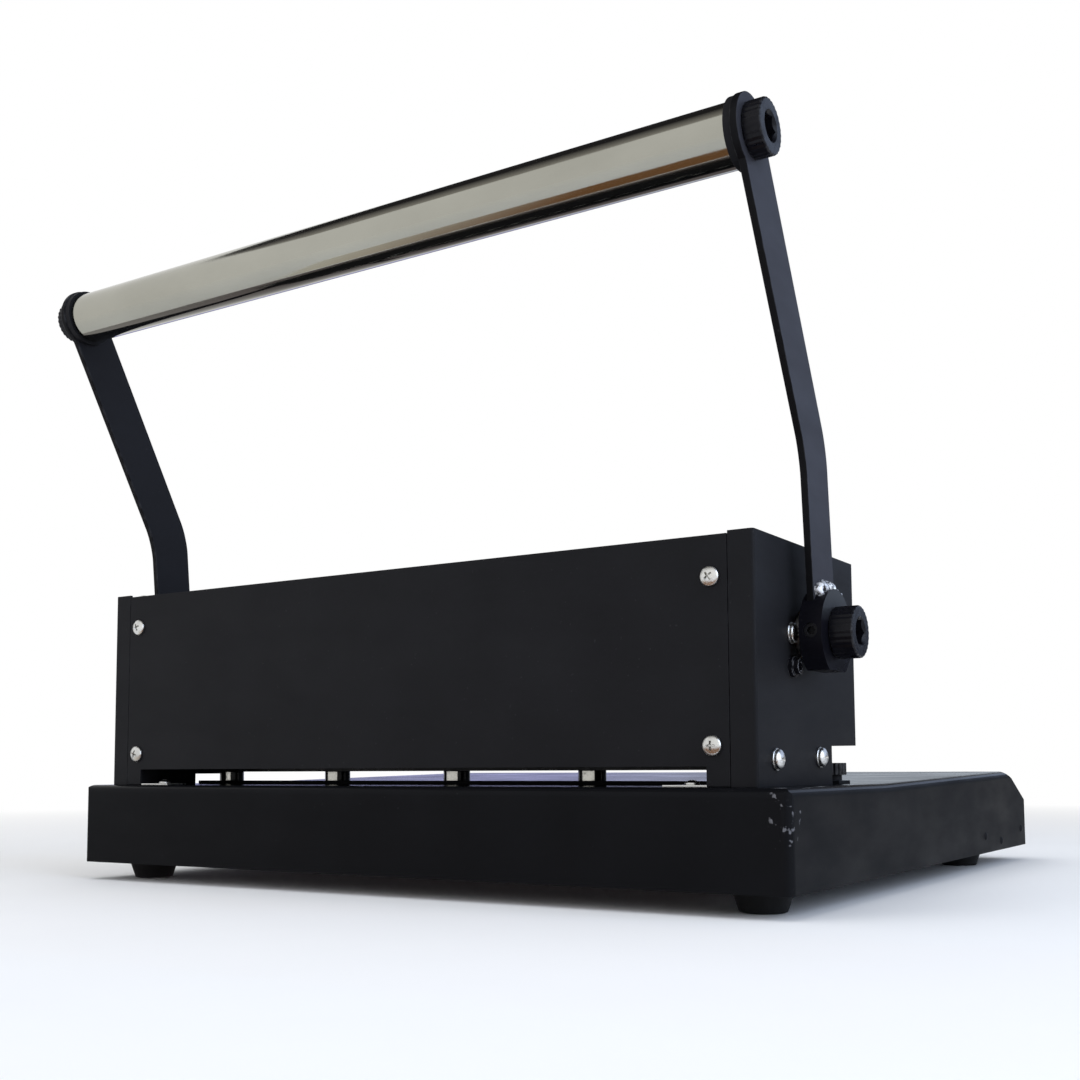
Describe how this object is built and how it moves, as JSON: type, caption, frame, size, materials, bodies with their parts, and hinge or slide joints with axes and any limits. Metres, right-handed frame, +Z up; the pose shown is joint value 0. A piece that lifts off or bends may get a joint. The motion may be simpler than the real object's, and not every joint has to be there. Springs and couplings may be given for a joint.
{
  "type": "comb binding machine",
  "caption": "Free-standing lever punch and comb opener: black folded-steel head on a sheet base, chromed bar handle on two bent arms, chip drawer and side stop.",
  "frame": {"origin": "centre of the bounding box on the floor under the feet", "axes": "+X along the head to the hand of a user who faces it, +Y to the rear, away from the paper table, +Z up"},
  "size_m": [0.413, 0.4084, 0.3108],
  "materials": {
    "black_coat": "fine-textured black powder coat, chipped at the corners",
    "black_oxide": "oiled black oxide on steel",
    "zinc": "bright zinc plate",
    "steel": "ground steel",
    "chrome": "polished chrome plate",
    "bronze": "turned bronze",
    "nylon": "natural nylon",
    "rubber": "moulded black rubber",
    "black_plastic": "moulded black plastic"
  },
  "bodies": {
    "machine_frame": {"base_pan": "black_coat", "bottom_plate": "black_coat", "feet": "rubber", "foot_screws": "zinc", "wall_braces": "steel", "brace_rivets": "black_coat", "frame_left": "black_coat", "frame_right": "black_coat", "frame_bolts": "zinc", "rear_posts": "black_coat", "front_posts": "black_coat", "post_shims": "zinc", "shim_screws": "zinc", "rear_panel": "black_coat", "rear_panel_screws": "zinc", "side_cover_left": "black_coat", "side_cover_right": "black_coat", "side_cover_screws": "zinc", "bearing_screws": "black_oxide", "top_cover": "black_coat", "top_cover_screws": "zinc", "front_cover": "black_coat", "front_cover_screws": "zinc", "die_plate": "steel", "guide_block": "black_oxide", "guide_block_screws": "zinc", "throat_spacers": "steel", "die_bolts": "zinc", "guide_rods": "zinc", "return_springs": "steel", "shaft_bushes": "bronze", "comb_tines": "zinc", "tine_screws": "zinc", "comb_bushes": "nylon", "drawer_rails": "steel"},
    "handle": {"drive_shaft": "steel", "handle_arm_left": "black_coat", "handle_arm_right": "black_coat", "arm_hub_left": "black_coat", "arm_hub_right": "black_coat", "hub_welds": "black_coat", "hub_set_screws": "black_oxide", "hub_cap_screws": "black_oxide", "bar_cap_screws": "black_oxide", "handle_bar": "chrome", "bar_end_plugs": "black_coat"},
    "punch": {"punch_beam": "steel", "punch_pins": "zinc", "punch_racks": "steel"},
    "comb_opener": {"comb_shaft": "steel", "comb_sectors": "steel", "comb_lever": "black_coat", "lever_grip": "black_plastic"},
    "hook_slide": {"hook_plate": "zinc", "hook_racks": "steel"},
    "drawer": {"chip_drawer": "black_coat", "drawer_pull": "black_plastic"},
    "edge_stop": {"edge_guide": "black_coat", "edge_guide_clamp": "black_oxide"}
  },
  "joints": [
    {"name": "handle_swing", "type": "hinge", "parent": "machine_frame", "child": "handle", "pos_m": [0, 0.12225, 0.111], "axis": [1, 0, 0], "range_deg": [0, 75]},
    {"name": "punch_stroke", "type": "slide", "parent": "machine_frame", "child": "punch", "axis": [0, 0, -1], "range_m": [0, 0.01571], "deforming": ["return_springs"]},
    {"name": "comb_lever_turn", "type": "hinge", "parent": "machine_frame", "child": "comb_opener", "pos_m": [0, 0.08425, 0.119], "axis": [1, 0, 0], "range_deg": [0, 45]},
    {"name": "hook_travel", "type": "slide", "parent": "machine_frame", "child": "hook_slide", "axis": [0, -1, 0], "range_m": [0, 0.01571]},
    {"name": "drawer_slide", "type": "slide", "parent": "machine_frame", "child": "drawer", "axis": [1, 0, 0], "range_m": [0, 0.3]},
    {"name": "edge_guide_slide", "type": "slide", "parent": "machine_frame", "child": "edge_stop", "axis": [1, 0, 0], "range_m": [-0.003, 0.003]}
  ],
  "couplings": [
    {"joint": "punch_stroke", "follows": "handle_swing", "m_per_rad": 0.012},
    {"joint": "hook_travel", "follows": "comb_lever_turn", "m_per_rad": 0.02}
  ]
}
